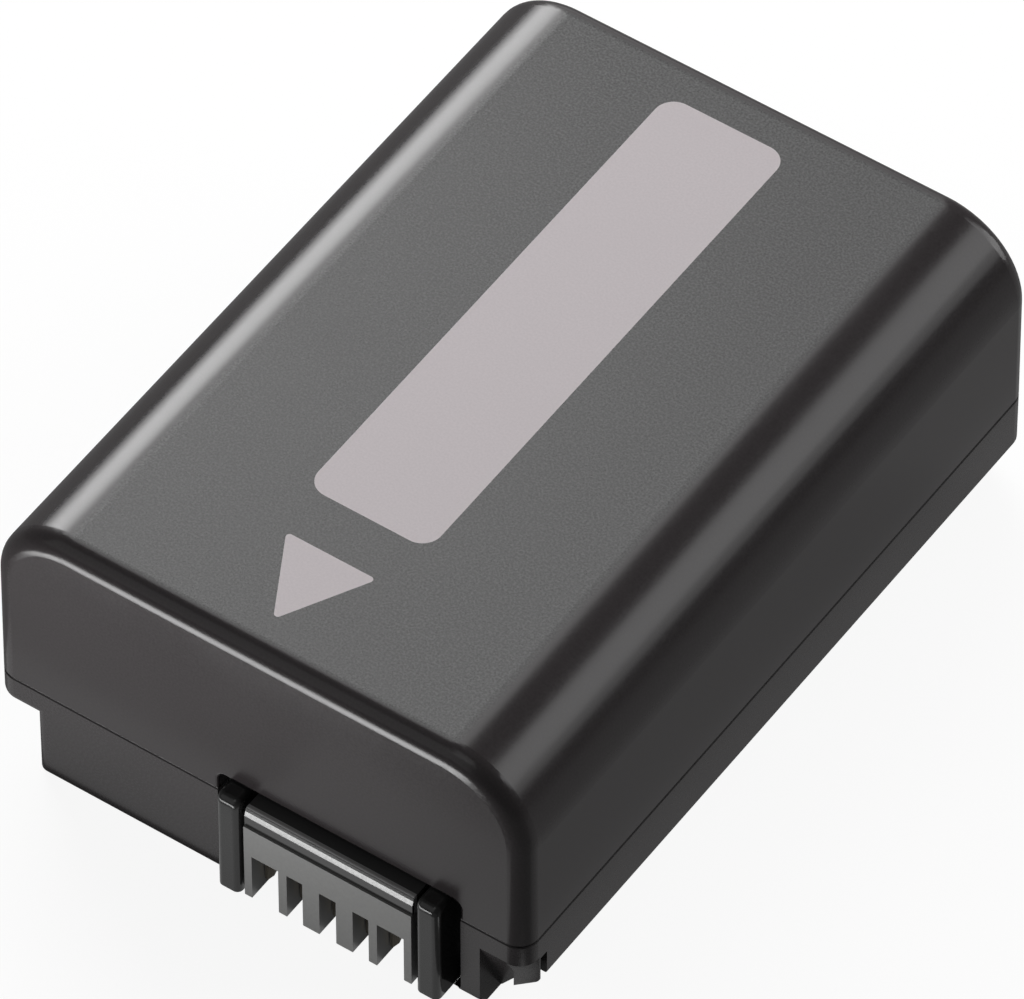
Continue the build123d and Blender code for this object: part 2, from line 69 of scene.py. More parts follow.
class Slot(Enum):
    """Material slots of the record."""

    UPPER_CASE = "upper_case_plastic"
    LOWER_CASE = "lower_case_plastic"
    LABEL = "label_print"
    TERMINAL = "terminal_plastic"
    COMB = "comb_plastic"
    CONTACT = "contact_metal"
    BOARD = "board_laminate"
    CHIP = "chip_moulding"
    SHUNT = "shunt_alloy"
    FUSE = "fuse_body"
    RESISTOR = "resistor_body"
    CAPACITOR = "capacitor_body"
    THERMISTOR = "thermistor_bead"
    CELL = "cell_can"
    SLEEVE = "cell_sleeve"
    CARD = "insulation_card"
    STRAP = "strap_nickel"
    LEAD = "lead_insulation"
    FOAM = "foam_pad"


class Axis(Enum):
    """Direction that a rolled or drawn grain runs in."""

    ACROSS = (1.0, 0.06, 1.0)
    ALONG = (0.06, 1.0, 1.0)
    UPRIGHT = (1.0, 1.0, 0.06)


def shade(colour: Colour, factor: float) -> Colour:
    """Colour made lighter or darker.

    Args:
        colour: linear colour.
        factor: 1 leaves it as it is.

    Returns:
        The linear colour.
    """
    return tuple(min(1.0, part * factor) for part in colour)


class NodeBench:
    """A material's node tree, with short calls to add and join its nodes."""

    def __init__(self, name: str) -> None:
        """Start an empty material with a principled shader and object coordinates.

        Args:
            name: name of the material.
        """
        self.material = bpy.data.materials.new(name)
        self.material.use_nodes = True
        self.tree = self.material.node_tree
        self.tree.nodes.clear()
        output = self.tree.nodes.new("ShaderNodeOutputMaterial")
        self.shader = self.tree.nodes.new("ShaderNodeBsdfPrincipled")
        self.join(self.shader.outputs["BSDF"], output.inputs["Surface"])
        self.place = self.tree.nodes.new("ShaderNodeTexCoord").outputs["Object"]

    def join(self, start: bpy.types.NodeSocket, end: bpy.types.NodeSocket) -> None:
        """Link one socket to another."""
        self.tree.links.new(start, end)

    def feed(self, name: str, value: bpy.types.NodeSocket) -> None:
        """Link a field to one of the shader's inputs."""
        self.join(value, self.shader.inputs[name])

    def set(self, name: str, value: float) -> None:
        """Set a constant on the shader's own socket."""
        self.shader.inputs[name].default_value = value

    def stretched(self, scale: Triple) -> bpy.types.NodeSocket:
        """Object coordinates, scaled per axis.

        Args:
            scale: factor along X, Y and Z.

        Returns:
            The vector socket.
        """
        node = self.tree.nodes.new("ShaderNodeMapping")
        node.inputs["Scale"].default_value = scale
        self.join(self.place, node.inputs["Vector"])
        return node.outputs["Vector"]

    def noise(
        self,
        scale: float,
        detail: float = 2.0,
        roughness: float = 0.5,
        vector: bpy.types.NodeSocket | None = None,
    ) -> bpy.types.NodeSocket:
        """Soft random field.

        Args:
            scale: cells per metre.
            detail: number of finer octaves.
            roughness: share of the finer octaves.
            vector: coordinates, the object's own when left out.

        Returns:
            The factor socket, 0 to 1 around 0.5.
        """
        node = self.tree.nodes.new("ShaderNodeTexNoise")
        node.inputs["Scale"].default_value = scale
        node.inputs["Detail"].default_value = detail
        node.inputs["Roughness"].default_value = roughness
        self.join(vector or self.place, node.inputs["Vector"])
        return node.outputs["Fac"]

    def cells(self, scale: float) -> bpy.types.NodeSocket:
        """Distance field of random cells.

        Args:
            scale: cells per metre.

        Returns:
            The distance socket.
        """
        node = self.tree.nodes.new("ShaderNodeTexVoronoi")
        node.inputs["Scale"].default_value = scale
        self.join(self.place, node.inputs["Vector"])
        return node.outputs["Distance"]

    def wave(self, scale: float, direction: str, waver: float = 0.6) -> bpy.types.NodeSocket:
        """Nearly straight parallel threads.

        Args:
            scale: threads per metre, about.
            direction: X, Y or Z.
            waver: how far the threads stray.

        Returns:
            The factor socket.
        """
        node = self.tree.nodes.new("ShaderNodeTexWave")
        node.bands_direction = direction
        node.inputs["Scale"].default_value = scale
        node.inputs["Distortion"].default_value = waver
        self.join(self.place, node.inputs["Vector"])
        return node.outputs["Fac"]

    def span(
        self,
        value: bpy.types.NodeSocket,
        low: float,
        high: float,
        start: float = 0.3,
        end: float = 0.7,
    ) -> bpy.types.NodeSocket:
        """Map a field from one range to another, held at both ends.

        Args:
            value: field.
            low: result at start.
            high: result at end.
            start: lower end of the field's range.
            end: upper end of the field's range.

        Returns:
            The result socket.
        """
        node = self.tree.nodes.new("ShaderNodeMapRange")
        node.inputs["From Min"].default_value = start
        node.inputs["From Max"].default_value = end
        node.inputs["To Min"].default_value = low
        node.inputs["To Max"].default_value = high
        self.join(value, node.inputs["Value"])
        return node.outputs["Result"]

    def combine(
        self, kind: str, first: bpy.types.NodeSocket, second: bpy.types.NodeSocket
    ) -> bpy.types.NodeSocket:
        """Work two fields together.

        Args:
            kind: operation, such as MULTIPLY.
            first: first field.
            second: second field.

        Returns:
            The result socket.
        """
        node = self.tree.nodes.new("ShaderNodeMath")
        node.operation = kind
        self.join(first, node.inputs[0])
        self.join(second, node.inputs[1])
        return node.outputs["Value"]

    def blend(
        self,
        share: bpy.types.NodeSocket,
        first: Colour | bpy.types.NodeSocket,
        second: Colour | bpy.types.NodeSocket,
    ) -> bpy.types.NodeSocket:
        """Mix two colours by a field.

        Args:
            share: field, 0 for the first colour and 1 for the second.
            first: colour at 0.
            second: colour at 1.

        Returns:
            The colour socket.
        """
        node = self.tree.nodes.new("ShaderNodeMix")
        node.data_type = "RGBA"
        self.join(share, node.inputs["Factor"])
        for index, colour in zip(MIX_COLOURS, (first, second)):
            if isinstance(colour, tuple):
                node.inputs[index].default_value = (*colour, 1.0)
            else:
                self.join(colour, node.inputs[index])
        return node.outputs[MIX_RESULT]

    def mottled(
        self, grain: bpy.types.NodeSocket, colour: Colour, spread: float
    ) -> bpy.types.NodeSocket:
        """Colour that a grain makes a little darker and lighter.

        Args:
            grain: field, 0 to 1 around 0.5.
            colour: linear colour.
            spread: share by which the colour changes each way.

        Returns:
            The colour socket.
        """
        dark, light = shade(colour, 1.0 - spread), shade(colour, 1.0 + spread)
        return self.blend(self.span(grain, 0.0, 1.0), dark, light)

    def along(self, axis: str) -> bpy.types.NodeSocket:
        """One of the object coordinates, in metres.

        Args:
            axis: X, Y or Z.

        Returns:
            The coordinate socket.
        """
        node = self.tree.nodes.new("ShaderNodeSeparateXYZ")
        self.join(self.place, node.inputs["Vector"])
        return node.outputs[axis]

    def past(self, axis: str, level: float, soft: float = 0.01 * MM) -> bpy.types.NodeSocket:
        """Field that is 0 before a level along an axis and 1 after it.

        Args:
            axis: X, Y or Z.
            level: place of the change, in metres.
            soft: width of the change.

        Returns:
            The field socket.
        """
        return self.span(self.along(axis), 0.0, 1.0, level - soft, level)

    def raise_by(self, relief: bpy.types.NodeSocket, depth: float) -> None:
        """Bump the surface by a field.

        Args:
            relief: field, 0 to 1.
            depth: height of the relief in metres.
        """
        node = self.tree.nodes.new("ShaderNodeBump")
        node.inputs["Strength"].default_value = 1.0
        node.inputs["Distance"].default_value = depth
        self.join(relief, node.inputs["Height"])
        self.feed("Normal", node.outputs["Normal"])


@dataclass(frozen=True)
class Finish:
    """What every finish has: the slot it fills and its main colour."""

    slot: Slot
    colour: Colour

    def build(self) -> bpy.types.Material:
        """Make the material; each kind of finish has its own."""
        raise NotImplementedError


@dataclass(frozen=True)
class MouldedPlastic(Finish):
    """Satin moulded plastic, its fine grain bolder on the roof, with painted shade in the parting
    gap: darker and rougher above a given level.
    """

    roughness: float
    spread: float = 0.03
    speckle: float = 0.06
    roof_colour: Colour = (0.036, 0.036, 0.036)
    roof_speckle: float = 0.06
    roof_level: float = NOWHERE
    roof_fade: float = 0.02 * MM
    # painted shade in the parting gap: level above which the colour is darkened, and by how much
    painted_shade_level: float = NOWHERE
    groove_painted_shade: float = 0.4
    groove_matt: float = 0.5
    grain: float = 8000.0
    relief: float = 0.0003 * MM
    cloud: float = 90.0
    cloud_spread: float = 0.02
    worn_share: float = 0.12
    worn_shade: float = 1.25

    def build(self) -> bpy.types.Material:
        """Make the material.

        Returns:
            The finished material.
        """
        bench = NodeBench(self.slot.value)
        grain = bench.noise(self.grain, detail=1.0, roughness=0.4)
        cloud = bench.noise(self.cloud, detail=3.0)
        fine = bench.mottled(grain, self.colour, self.speckle)
        bold = bench.mottled(grain, self.roof_colour, self.roof_speckle)
        tone = bench.blend(bench.past("Z", self.roof_level, self.roof_fade), fine, bold)
        worn = bench.blend(
            bench.span(cloud, 0.0, self.worn_share), tone, shade(self.colour, self.worn_shade)
        )
        # painted shade: above the level, the rim in the parting gap is darkened as if in shadow,
        # and made rougher
        painted_shade_mask = bench.past("Z", self.painted_shade_level)
        bench.feed("Base Color", bench.blend(painted_shade_mask, worn, shade(self.colour, self.groove_painted_shade)))
        low, high = self.roughness - self.cloud_spread, self.roughness + self.cloud_spread
        satin = bench.combine(
            "ADD", bench.span(grain, -self.spread, self.spread), bench.span(cloud, low, high)
        )
        matt = bench.span(painted_shade_mask, 0.0, self.groove_matt, 0.0, 1.0)
        bench.feed("Roughness", bench.combine("ADD", satin, matt))
        bench.raise_by(grain, self.relief)
        return bench.material


@dataclass(frozen=True)
class TwoToneComb(Finish):
    """Grey toothed plate with painted shade on its slot walls, under a glossy black bar with a
    painted highlight in a band along its top.
    """

    # colour of the painted shade on the slot walls
    painted_slot_shade: Colour = (0.2, 0.2, 0.2)
    bar_colour: Colour = (0.03, 0.03, 0.03)
    # colour of the painted highlight band on the bar's top, and where that band starts and ends
    # behind the face
    painted_highlight_colour: Colour = (0.45, 0.45, 0.45)
    face: float = -22.65 * MM
    inset: float = 0.02 * MM
    bar_level: float = 5.76 * MM
    highlight_start: float = 0.3 * MM
    highlight_end: float = 0.54 * MM
    crest_level: float = 6.73 * MM
    crest_matt: float = 0.5
    plate_roughness: float = 0.4
    bar_roughness: float = 0.1
    spread: float = 0.02
    specular: float = 1.0
    grain: float = 7000.0
    mottle: float = 0.06
    relief: float = 0.0004 * MM

    def build(self) -> bpy.types.Material:
        """Make the material.

        Returns:
            The finished material.
        """
        bench = NodeBench(self.slot.value)
        grain = bench.noise(self.grain)
        # painted shade: faces behind the plate's front and below the bar are darkened as if in
        # shadow
        painted_shade_walls = bench.combine(
            "SUBTRACT",
            bench.past("Y", self.face + self.inset),
            bench.past("Z", self.bar_level - self.inset),
        )
        plate = bench.mottled(grain, self.colour, self.mottle)
        toothed = bench.blend(painted_shade_walls, plate, self.painted_slot_shade)
        # painted highlight: a pale band on the bar's top stands in for light caught along its edge
        painted_highlight_band = bench.combine(
            "SUBTRACT",
            bench.past("Y", self.face + self.highlight_start),
            bench.past("Y", self.face + self.highlight_end),
        )
        bar = bench.mottled(grain, self.bar_colour, self.mottle)
        highlighted_bar = bench.blend(painted_highlight_band, bar, self.painted_highlight_colour)
        above = bench.past("Z", self.bar_level)
        bench.feed("Base Color", bench.blend(above, toothed, highlighted_bar))
        gloss = bench.span(above, self.plate_roughness, self.bar_roughness, 0.0, 1.0)
        matt = bench.span(bench.past("Z", self.crest_level), 0.0, self.crest_matt, 0.0, 1.0)
        polish = bench.combine("ADD", gloss, bench.span(grain, -self.spread, self.spread))
        bench.feed("Roughness", bench.combine("ADD", polish, matt))
        bench.set("Specular IOR Level", self.specular)
        bench.raise_by(grain, self.relief)
        return bench.material


@dataclass(frozen=True)
class PrintedInk(Finish):
    """Flat pale ink, laid on thinly enough for a trace of the grain to show."""

    roughness: float = 0.42
    spread: float = 0.04
    mottle: float = 0.035
    grain: float = 8000.0
    relief: float = 0.0015 * MM
    cloud: float = 160.0
    thin_share: float = 0.25
    thin_shade: float = 0.96

    def build(self) -> bpy.types.Material:
        """Make the material.

        Returns:
            The finished material.
        """
        bench = NodeBench(self.slot.value)
        grain = bench.noise(self.grain, detail=1.0, roughness=0.4)
        thin = bench.span(bench.noise(self.cloud), 0.0, self.thin_share)
        speck = bench.mottled(grain, self.colour, self.mottle)
        bench.feed("Base Color", bench.blend(thin, speck, shade(self.colour, self.thin_shade)))
        low, high = self.roughness - self.spread, self.roughness + self.spread
        bench.feed("Roughness", bench.span(grain, low, high))
        bench.raise_by(grain, self.relief)
        return bench.material


@dataclass(frozen=True)
class RolledMetal(Finish):
    """Bare or plated sheet with a drawn grain and a few stains."""

    roughness: float
    axis: Axis
    polished: float = 0.08
    scuffed: float = 0.1
    grain: float = 9000.0
    dark_shade: float = 0.88
    light_shade: float = 1.06
    relief: float = 0.002 * MM
    stain: float = 400.0
    stain_share: float = 0.3
    stain_shade: float = 0.7

    def build(self) -> bpy.types.Material:
        """Make the material.

        Returns:
            The finished material.
        """
        bench = NodeBench(self.slot.value)
        grain = bench.noise(self.grain, vector=bench.stretched(self.axis.value))
        stain = bench.noise(self.stain, detail=3.0)
        drawn = bench.blend(
            bench.span(grain, 0.0, 1.0),
            shade(self.colour, self.dark_shade),
            shade(self.colour, self.light_shade),
        )
        stained = bench.span(stain, 0.0, self.stain_share, start=0.5, end=0.8)
        tone = bench.blend(stained, drawn, shade(self.colour, self.stain_shade))
        bench.feed("Base Color", tone)
        bench.set("Metallic", 1.0)
        low, high = self.roughness - self.polished, self.roughness + self.scuffed
        bench.feed("Roughness", bench.span(grain, low, high))
        bench.raise_by(grain, self.relief)
        return bench.material


@dataclass(frozen=True)
class GlassLaminate(Finish):
    """Circuit board with solder mask over a woven glass cloth and patches of copper."""

    thread: float = 900.0
    dark_shade: float = 0.8
    light_shade: float = 1.15
    copper: float = 420.0
    copper_share: float = 0.6
    copper_shade: float = 1.7
    smooth: float = 0.22
    rough: float = 0.34
    relief: float = 0.01 * MM

    def build(self) -> bpy.types.Material:
        """Make the material.

        Returns:
            The finished material.
        """
        bench = NodeBench(self.slot.value)
        weave = bench.combine(
            "MULTIPLY", bench.wave(self.thread, "X"), bench.wave(self.thread, "Z")
        )
        copper = bench.cells(self.copper)
        mask = bench.blend(
            bench.span(weave, 0.0, 1.0, 0.0, 1.0),
            shade(self.colour, self.dark_shade),
            shade(self.colour, self.light_shade),
        )
        patch = bench.span(copper, 0.0, self.copper_share, start=0.45, end=0.5)
        bench.feed("Base Color", bench.blend(patch, mask, shade(self.colour, self.copper_shade)))
        bench.feed("Roughness", bench.span(weave, self.smooth, self.rough, 0.0, 1.0))
        bench.raise_by(weave, self.relief)
        return bench.material


@dataclass(frozen=True)
class ShrinkFilm(Finish):
    """Thin shrunk film with slight draw lines."""

    roughness: float
    smoother: float = 0.06
    rougher: float = 0.08
    draw: float = 700.0
    relief: float = 0.02 * MM
    cloud: float = 220.0
    mottle: float = 0.1

    def build(self) -> bpy.types.Material:
        """Make the material.

        Returns:
            The finished material.
        """
        bench = NodeBench(self.slot.value)
        lines = bench.stretched(Axis.ALONG.value)
        draw = bench.noise(self.draw, detail=3.0, vector=lines)
        cloud = bench.noise(self.cloud)
        bench.feed("Base Color", bench.mottled(cloud, self.colour, self.mottle))
        low, high = self.roughness - self.smoother, self.roughness + self.rougher
        bench.feed("Roughness", bench.span(draw, low, high))
        bench.raise_by(draw, self.relief)
        return bench.material


@dataclass(frozen=True)
class PressedBody(Finish):
    """Cast or pressed body of a small electronic part, fibre card or ceramic."""

    roughness: float
    spread: float = 0.08
    mottle: float = 0.18
    grain: float = 5000.0
    relief: float = 0.006 * MM

    def build(self) -> bpy.types.Material:
        """Make the material.

        Returns:
            The finished material.
        """
        bench = NodeBench(self.slot.value)
        grain = bench.noise(self.grain, detail=3.0, roughness=0.6)
        bench.feed("Base Color", bench.mottled(grain, self.colour, self.mottle))
        low, high = self.roughness - self.spread, self.roughness + self.spread
        bench.feed("Roughness", bench.span(grain, low, high))
        bench.raise_by(grain, self.relief)
        return bench.material


@dataclass(frozen=True)
class CellularFoam(Finish):
    """Soft foam with open cells."""

    cell: float = 3200.0
    pore: float = 0.1
    wall: float = 0.6
    pore_shade: float = 0.45
    wall_shade: float = 1.1
    pore_roughness: float = 0.95
    wall_roughness: float = 0.8
    relief: float = 0.08 * MM

    def build(self) -> bpy.types.Material:
        """Make the material.

        Returns:
            The finished material.
        """
        bench = NodeBench(self.slot.value)
        cells = bench.cells(self.cell)
        tone = bench.blend(
            bench.span(cells, 0.0, 1.0, self.pore, self.wall),
            shade(self.colour, self.pore_shade),
            shade(self.colour, self.wall_shade),
        )
        bench.feed("Base Color", tone)
        matt = bench.span(cells, self.pore_roughness, self.wall_roughness, self.pore, self.wall)
        bench.feed("Roughness", matt)
        bench.raise_by(cells, self.relief)
        return bench.material


CASE_COLOUR: Colour = (0.039, 0.0335, 0.035)
FINISHES: tuple[Finish, ...] = (
    MouldedPlastic(
        Slot.UPPER_CASE, CASE_COLOUR, roughness=0.22, roof_speckle=0.9, roof_level=17.997 * MM
    ),
    # the lower case's rim in the parting gap takes painted shade above 5.99 mm
    MouldedPlastic(Slot.LOWER_CASE, CASE_COLOUR, roughness=0.28, painted_shade_level=5.99 * MM),
    PrintedInk(Slot.LABEL, (0.64, 0.58, 0.6)),
    MouldedPlastic(Slot.TERMINAL, (0.03, 0.03, 0.03), roughness=0.16, spread=0.02, speckle=0.1),
    TwoToneComb(Slot.COMB, (0.26, 0.26, 0.255)),
    RolledMetal(Slot.CONTACT, (0.3, 0.27, 0.22), roughness=0.28, axis=Axis.UPRIGHT),
    GlassLaminate(Slot.BOARD, (0.02, 0.11, 0.05)),
    PressedBody(Slot.CHIP, (0.018, 0.018, 0.02), roughness=0.48),
    RolledMetal(Slot.SHUNT, (0.52, 0.44, 0.36), roughness=0.38, axis=Axis.ACROSS),
    PressedBody(Slot.FUSE, (0.5, 0.42, 0.28), roughness=0.45),
    PressedBody(Slot.RESISTOR, (0.02, 0.021, 0.026), roughness=0.4),
    PressedBody(Slot.CAPACITOR, (0.34, 0.23, 0.13), roughness=0.42),
    PressedBody(Slot.THERMISTOR, (0.06, 0.05, 0.045), roughness=0.36),
    RolledMetal(Slot.CELL, (0.62, 0.62, 0.6), roughness=0.3, axis=Axis.ALONG),
    ShrinkFilm(Slot.SLEEVE, (0.05, 0.12, 0.3), roughness=0.26),
    PressedBody(
        Slot.CARD, (0.62, 0.6, 0.52), roughness=0.75, grain=2600.0, relief=0.015 * MM
    ),
    RolledMetal(Slot.STRAP, (0.66, 0.63, 0.58), roughness=0.32, axis=Axis.ACROSS),
    ShrinkFilm(Slot.LEAD, (0.42, 0.04, 0.03), roughness=0.36),
    CellularFoam(Slot.FOAM, (0.045, 0.045, 0.048)),
)


class Wardrobe:
    """All finishes of the object, made once and handed to the pieces."""

    def __init__(self, finishes: tuple[Finish, ...]) -> None:
        """Make every material.

        Args:
            finishes: one finish for each slot.
        """
        self.materials = {finish.slot: finish.build() for finish in finishes}

    def dress(self, node: str, slot: Slot) -> None:
        """Give a CAD node its finish.

        Args:
            node: name of the node.
            slot: slot that it takes.
        """
        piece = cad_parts[node]
        piece.data.materials.clear()
        piece.data.materials.append(self.materials[slot])
        log.info("%s: %s", node, slot.value)


def plain_mesh(holder: bpy.types.Object, name: str) -> bpy.types.Object:
    """Turn a piece made by geometry nodes into a plain mesh that rides on the part.

    Args:
        holder: object with the geometry nodes modifier.
        name: name of the finished piece.

    Returns:
        The finished piece.
    """
    graph = bpy.context.evaluated_depsgraph_get()
    mesh = bpy.data.meshes.new_from_object(holder.evaluated_get(graph), depsgraph=graph)
    mesh.name = name
    old = holder.data
    bpy.data.objects.remove(holder)
    if isinstance(old, bpy.types.Curve):
        bpy.data.curves.remove(old)
    else:
        bpy.data.meshes.remove(old)
    piece = bpy.data.objects.new(name, mesh)
    bpy.context.scene.collection.objects.link(piece)
    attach(piece, "root")
    log.info("%s: %d faces", name, len(mesh.polygons))
    return piece


@dataclass
class NodeTree:
    """A geometry nodes tree with named inputs."""

    name: str
    tree: bpy.types.NodeTree = field(init=False)
    start: bpy.types.Node = field(init=False)
    end: bpy.types.Node = field(init=False)

    def __post_init__(self) -> None:
        """Start the tree with its geometry sockets."""
        self.tree = bpy.data.node_groups.new(self.name, "GeometryNodeTree")
        for way in ("INPUT", "OUTPUT"):
            self.tree.interface.new_socket(
                "Geometry", in_out=way, socket_type="NodeSocketGeometry"
            )
        self.start = self.add("NodeGroupInput")
        self.end = self.add("NodeGroupOutput")

    def size(self, name: str) -> bpy.types.NodeSocket:
        """Add a named length input.

        Args:
            name: name of the input.

        Returns:
            The socket inside the tree.
        """
        self.tree.interface.new_socket(name, in_out="INPUT", socket_type="NodeSocketFloat")
        return self.start.outputs[name]

    def add(self, kind: str) -> bpy.types.Node:
        """Add a node of a kind."""
        return self.tree.nodes.new(kind)

    def join(self, first: bpy.types.NodeSocket, second: bpy.types.NodeSocket) -> None:
        """Link two sockets."""
        self.tree.links.new(first, second)

    def close(self, last: bpy.types.NodeSocket, material: bpy.types.Material) -> None:
        """End the tree in realized instances with a material.

        Args:
            last: socket with the geometry.
            material: material of the piece.
        """
        real = self.add("GeometryNodeRealizeInstances")
        paint = self.add("GeometryNodeSetMaterial")
        paint.inputs["Material"].default_value = material
        self.join(last, real.inputs["Geometry"])
        self.join(real.outputs["Geometry"], paint.inputs["Geometry"])
        self.join(paint.outputs["Geometry"], self.end.inputs["Geometry"])

    def put_on(self, holder: bpy.types.Object, sizes: dict[str, float]) -> None:
        """Put the tree on an object and set its inputs.

        Args:
            holder: object that takes the modifier.
            sizes: value of each named input.
        """
        modifier = holder.modifiers.new(self.name, "NODES")
        modifier.node_group = self.tree
        for item in self.tree.interface.items_tree:
            is_input = item.item_type == "SOCKET" and item.in_out == "INPUT"
            if is_input and item.name in sizes:
                modifier[item.identifier] = sizes[item.name]


@dataclass(frozen=True)
class LowCones:
    """Low blunt cones on a back face, such as solder joints and spot welds."""

    name: str
    slot: Slot
    foot_radius: float
    rise: float
    rings: int
    sides: int = 16
    tip_share: float = 0.6

    def build(self, wardrobe: Wardrobe, points: list[Vector]) -> bpy.types.Object:
        """Set one cone on each point, standing towards the back, +Y.

        Args:
            wardrobe: all finishes.
            points: middle of each foot, in the row frame.

        Returns:
            The cones as one piece.
        """
        mesh = bpy.data.meshes.new(f"{self.name}_places")
        mesh.from_pydata([tuple(point) for point in points], [], [])
        holder = bpy.data.objects.new(mesh.name, mesh)
        bpy.context.scene.collection.objects.link(holder)
        tree = NodeTree(f"{self.name}_cones")
        cone = tree.add("GeometryNodeMeshCone")
        cone.inputs["Vertices"].default_value = self.sides
        cone.inputs["Side Segments"].default_value = self.rings
        tree.join(tree.size("Foot Radius"), cone.inputs["Radius Bottom"])
        tree.join(tree.size("Tip Radius"), cone.inputs["Radius Top"])
        tree.join(tree.size("Rise"), cone.inputs["Depth"])
        turn = tree.add("GeometryNodeTransform")
        turn.inputs["Rotation"].default_value = (-math.pi / 2, 0.0, 0.0)
        tree.join(cone.outputs["Mesh"], turn.inputs["Geometry"])
        spread = tree.add("GeometryNodeInstanceOnPoints")
        tree.join(tree.start.outputs["Geometry"], spread.inputs["Points"])
        tree.join(turn.outputs["Geometry"], spread.inputs["Instance"])
        tree.close(spread.outputs["Instances"], wardrobe.materials[self.slot])
        tree.put_on(holder, {
            "Foot Radius": self.foot_radius,
            "Tip Radius": self.foot_radius * self.tip_share,
            "Rise": self.rise,
        })
        return plain_mesh(holder, self.name)


@dataclass
class MouldedCase:
    """Upper and lower case with the weld bead that joins them in the parting gap."""

    wardrobe: Wardrobe
    corner: float = 1.1 * MM
    front_depth: float = 0.08 * MM
    side_depth: float = 0.18 * MM
    bead_radius: float = 0.07 * MM
    bead_sides: int = 8
    corner_steps: int = 8
    gap: float = 0.15 * MM
    flange_over_window: float = 0.18 * MM

    def dress(self) -> None:
        """Give both mouldings their finish and add the bead."""
        self.wardrobe.dress("upper_case", Slot.UPPER_CASE)
        self.wardrobe.dress("lower_case", Slot.LOWER_CASE)
        self.seam()

    def path(self) -> bpy.types.Object:
        """Draw the bead's path round the case, from one side of the terminal to the other.

        Returns:
            The path, as a curve object.
        """
        low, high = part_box("upper_case")
        flange_low, flange_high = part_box("terminal_housing")
        curve = bpy.data.curves.new("parting_seam_path", "CURVE")
        curve.dimensions = "3D"
        curve.resolution_u = self.corner_steps
        spline = curve.splines.new("BEZIER")
        left, right = low.x + self.side_depth, high.x - self.side_depth
        nose, tail = low.y + self.front_depth, high.y - self.side_depth
        level = low.z - self.gap + self.bead_radius
        turn = self.corner - self.front_depth
        knots = [
            (flange_high.x - self.flange_over_window, nose, 1, 0),
            (right - turn, nose, 1, 0),
            (right, nose + turn, 0, 1),
            (right, tail - turn, 0, 1),
            (right - turn, tail, -1, 0),
            (left + turn, tail, -1, 0),
            (left, tail - turn, 0, -1),
            (left, nose + turn, 0, -1),
            (left + turn, nose, 1, 0),
            (flange_low.x + self.flange_over_window, nose, 1, 0),
        ]
        spline.bezier_points.add(len(knots) - 1)
        reach = turn * ROUND_HANDLE
        for knot, (x, y, across, along) in zip(spline.bezier_points, knots):
            knot.co = (x, y, level)
            knot.handle_left = (x - across * reach, y - along * reach, level)
            knot.handle_right = (x + across * reach, y + along * reach, level)
        holder = bpy.data.objects.new("parting_seam_path", curve)
        bpy.context.scene.collection.objects.link(holder)
        return holder

    def seam(self) -> bpy.types.Object:
        """Sweep a small round bead along the bottom of the parting gap.

        Returns:
            The bead.
        """
        holder = self.path()
        tree = NodeTree("weld_bead")
        ring = tree.add("GeometryNodeCurvePrimitiveCircle")
        ring.inputs["Resolution"].default_value = self.bead_sides
        tree.join(tree.size("Bead Radius"), ring.inputs["Radius"])
        sweep = tree.add("GeometryNodeCurveToMesh")
        tree.join(tree.start.outputs["Geometry"], sweep.inputs["Curve"])
        tree.join(ring.outputs["Curve"], sweep.inputs["Profile Curve"])
        sweep.inputs["Fill Caps"].default_value = True
        tree.close(sweep.outputs["Mesh"], self.wardrobe.materials[Slot.UPPER_CASE])
        tree.put_on(holder, {"Bead Radius": self.bead_radius})
        return plain_mesh(holder, "parting_seam")


@dataclass
class PrintedTop:
    """Pale panel and insertion arrow on the top face."""

    wardrobe: Wardrobe

    def dress(self) -> None:
        """Give both prints their ink."""
        self.wardrobe.dress("label_panel", Slot.LABEL)
        self.wardrobe.dress("insertion_arrow", Slot.LABEL)


@dataclass
class TerminalBlock:
    """Housing, comb and folded contacts at the front."""

    wardrobe: Wardrobe
    contacts: tuple[str, ...] = (
        "positive_contact",
        "charge_contact",
        "data_contact",
        "sense_contact",
        "negative_contact",
    )

    def dress(self) -> None:
        """Give the plastics and the five contacts their finish."""
        self.wardrobe.dress("terminal_housing", Slot.TERMINAL)
        self.wardrobe.dress("contact_comb", Slot.COMB)
        for contact in self.contacts:
            self.wardrobe.dress(contact, Slot.CONTACT)


@dataclass
class ControlBoard:
    """Circuit board with its parts, and the solder on the contact tails."""

    wardrobe: Wardrobe
    contacts: tuple[str, ...] = TerminalBlock.contacts
    tail_level: float = 2.2 * MM
    joints: LowCones = LowCones(
        "solder_joints", Slot.STRAP, foot_radius=0.42 * MM, rise=0.24 * MM, rings=3
    )

    def dress(self) -> None:
        """Give the board and each part on it a finish, and solder the tails."""
        parts = {
            "circuit_board": Slot.BOARD,
            "gauge_chip": Slot.CHIP,
            "protection_chip": Slot.CHIP,
            "switch_transistors": Slot.CHIP,
            "current_shunt": Slot.SHUNT,
            "thermal_fuse": Slot.FUSE,
            "chip_resistors": Slot.RESISTOR,
            "chip_capacitors": Slot.CAPACITOR,
            "thermistor": Slot.THERMISTOR,
        }
        for node, slot in parts.items():
            self.wardrobe.dress(node, slot)
        self.solder()

    def solder(self) -> bpy.types.Object:
        """Set a cone of solder round each tail on the back of the board.

        Returns:
            The five joints as one piece.
        """
        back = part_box("circuit_board")[1].y
        places = []
        for contact in self.contacts:
            low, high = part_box(contact)
            places.append(Vector(((low.x + high.x) / 2, back, self.tail_level)))
        return self.joints.build(self.wardrobe, places)


